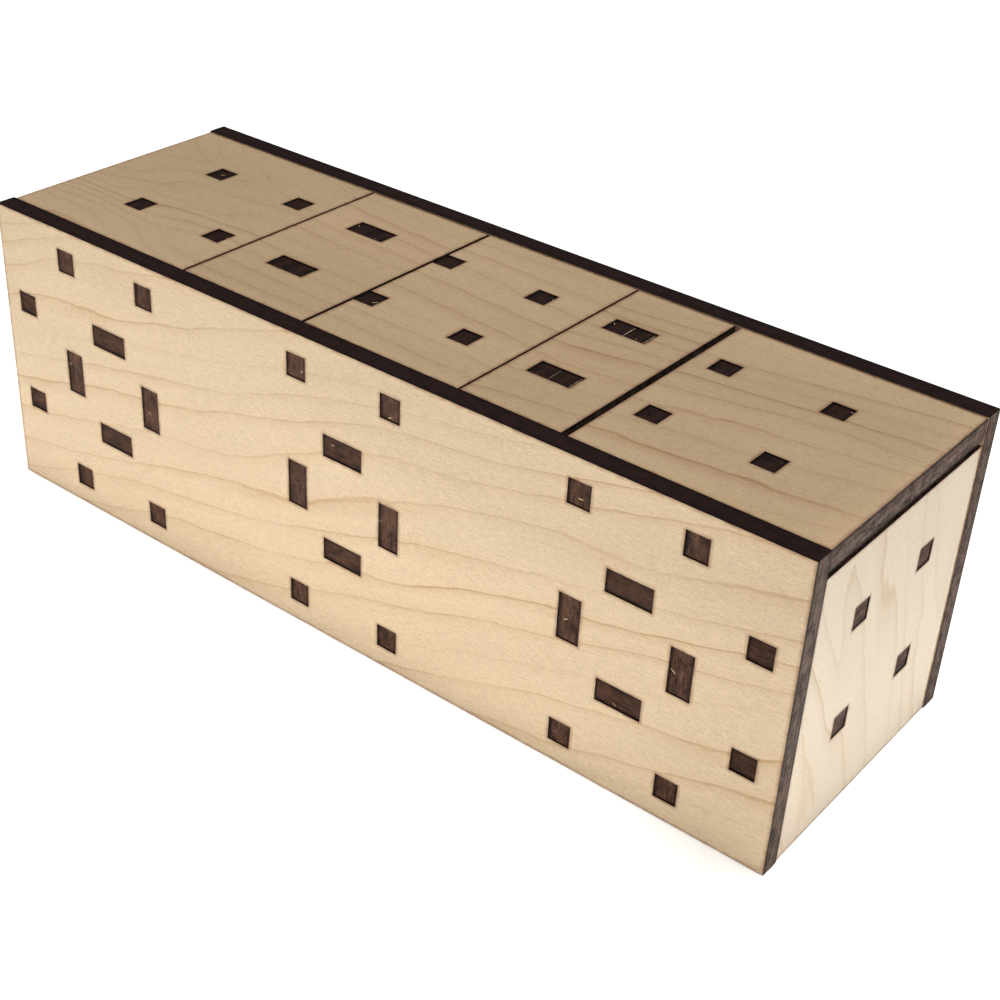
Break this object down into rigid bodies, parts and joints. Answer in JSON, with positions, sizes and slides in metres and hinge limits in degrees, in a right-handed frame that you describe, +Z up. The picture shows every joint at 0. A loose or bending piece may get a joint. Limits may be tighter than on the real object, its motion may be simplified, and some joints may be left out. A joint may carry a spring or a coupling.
{
  "type": "wooden puzzle box",
  "caption": "Long laser-cut plywood puzzle box: a tenoned frame with two lift-off lids in its top and a pair of hidden sliding bolts that lock them.",
  "frame": {"origin": "centre of the footprint, on the surface the box stands on", "axes": "+X along the box from its left end to its right end, +Y from the front panel to the back panel, +Z up out of the top"},
  "size_m": [0.168, 0.0556, 0.056],
  "materials": {
    "side_ply": "uncoated birch plywood, sanded, laser-burnt edges",
    "end_ply": "uncoated birch plywood, sanded, laser-burnt edges",
    "base_ply": "uncoated birch plywood, sanded, laser-burnt edges",
    "top_ply": "uncoated birch plywood, sanded, laser-burnt edges",
    "lid_ply": "uncoated birch plywood, sanded, laser-burnt edges",
    "keeper_ply": "uncoated birch plywood, sanded, laser-burnt edges",
    "shelf_ply": "uncoated birch plywood, sanded, laser-burnt edges",
    "rib_ply": "uncoated birch plywood, sanded, laser-burnt edges",
    "bolt_ply": "uncoated birch plywood, sanded, laser-burnt edges"
  },
  "bodies": {
    "frame": {"front_panel": "side_ply", "back_panel": "side_ply", "left_end_panel": "end_ply", "right_end_panel": "end_ply", "bottom_panel": "base_ply", "top_panel_left": "top_ply", "top_panel_middle": "top_ply", "top_panel_right": "top_ply", "upper_shelf": "shelf_ply", "lower_shelf": "shelf_ply", "left_outer_rib": "rib_ply", "left_inner_rib": "rib_ply", "middle_left_rib": "rib_ply", "middle_right_rib": "rib_ply", "right_inner_rib": "rib_ply", "right_outer_rib": "rib_ply"},
    "left_lid": {"left_lid": "lid_ply", "left_keeper_left_plate": "keeper_ply", "left_keeper_right_plate": "keeper_ply"},
    "right_lid": {"right_lid": "lid_ply", "right_keeper_left_plate": "keeper_ply", "right_keeper_right_plate": "keeper_ply"},
    "left_bolt": {"left_bolt_front_bar": "bolt_ply", "left_bolt_back_bar": "bolt_ply", "left_bolt_yoke": "bolt_ply"},
    "right_bolt": {"right_bolt_front_bar": "bolt_ply", "right_bolt_back_bar": "bolt_ply", "right_bolt_yoke": "bolt_ply"}
  },
  "joints": [
    {"name": "left_lid_lift", "type": "slide", "parent": "frame", "child": "left_lid", "axis": [0, 0, 1], "range_m": [0, 0.024]},
    {"name": "right_lid_lift", "type": "slide", "parent": "frame", "child": "right_lid", "axis": [0, 0, 1], "range_m": [0, 0.024]},
    {"name": "left_bolt_slide", "type": "slide", "parent": "frame", "child": "left_bolt", "axis": [1, 0, 0], "range_m": [0, 0.0104]},
    {"name": "right_bolt_slide", "type": "slide", "parent": "frame", "child": "right_bolt", "axis": [-1, 0, 0], "range_m": [0, 0.0104]}
  ]
}
